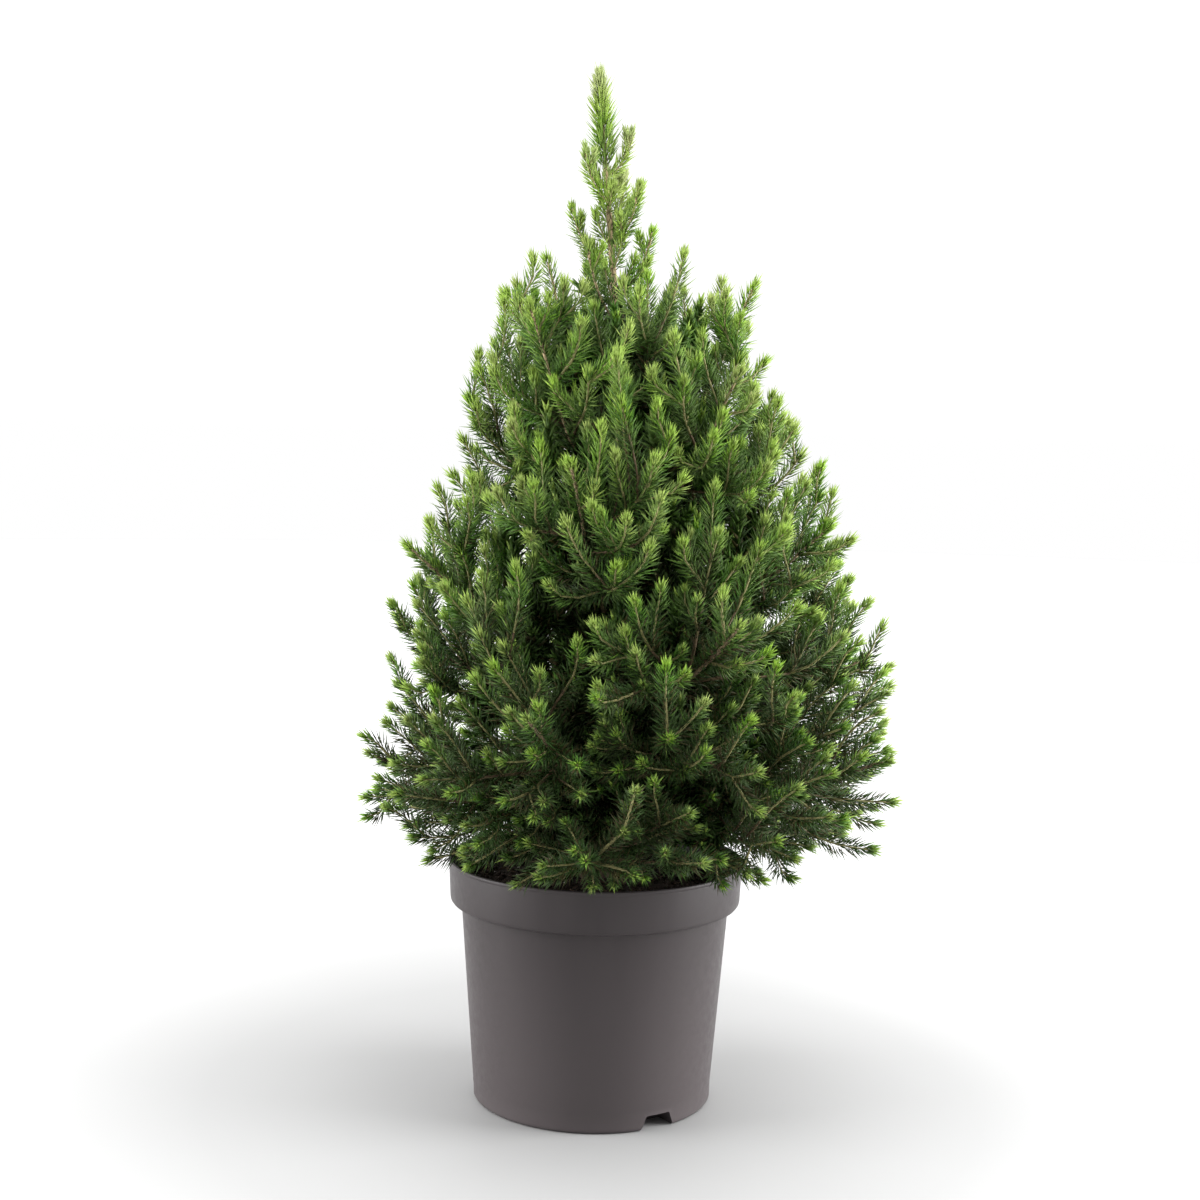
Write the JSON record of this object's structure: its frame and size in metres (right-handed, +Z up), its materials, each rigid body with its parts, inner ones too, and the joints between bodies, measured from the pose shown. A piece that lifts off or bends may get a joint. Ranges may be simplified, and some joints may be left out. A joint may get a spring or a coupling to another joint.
{
  "type": "potted dwarf alberta spruce",
  "caption": "Young dwarf Alberta spruce, a dense upswept cone of short green needles with lighter tips, standing in a taupe plastic nursery pot filled with compost.",
  "frame": {"origin": "middle of the pot's flat underside", "axes": "+Z up along the pot's axis, -Y towards the front, +X to the right seen from the front"},
  "size_m": [0.3548, 0.3505, 0.655],
  "materials": {
    "pot_plastic": "satin",
    "compost": "matte",
    "bark": "matte",
    "needles": "matte"
  },
  "bodies": {
    "root": {"pot": "pot_plastic", "compost": "compost", "trunk": "bark", "bough_01": "bark", "bough_02": "bark", "bough_03": "bark", "bough_04": "bark", "bough_05": "bark", "bough_06": "bark", "bough_07": "bark", "bough_08": "bark", "bough_09": "bark", "bough_10": "bark", "bough_11": "bark", "bough_12": "bark", "bough_13": "bark", "bough_14": "bark", "bough_15": "bark", "bough_16": "bark", "bough_17": "bark", "bough_18": "bark", "bough_19": "bark", "bough_20": "bark", "bough_21": "bark", "bough_22": "bark", "mass_01": "needles", "mass_02": "needles", "mass_03": "needles", "mass_04": "needles", "mass_05": "needles", "mass_06": "needles", "mass_07": "needles", "mass_08": "needles", "mass_09": "needles", "mass_10": "needles", "mass_11": "needles", "mass_12": "needles", "mass_13": "needles", "mass_14": "needles", "mass_15": "needles", "mass_16": "needles", "mass_17": "needles", "mass_18": "needles", "mass_19": "needles", "mass_20": "needles", "mass_21": "needles", "mass_22": "needles", "spur_01": "needles", "spur_02": "needles", "spur_03": "needles", "spur_04": "needles", "spur_05": "needles", "spur_06": "needles", "spur_07": "needles", "spur_08": "needles", "spur_09": "needles", "spur_10": "needles", "spur_11": "needles", "spur_12": "needles", "leader": "needles"}
  },
  "joints": []
}
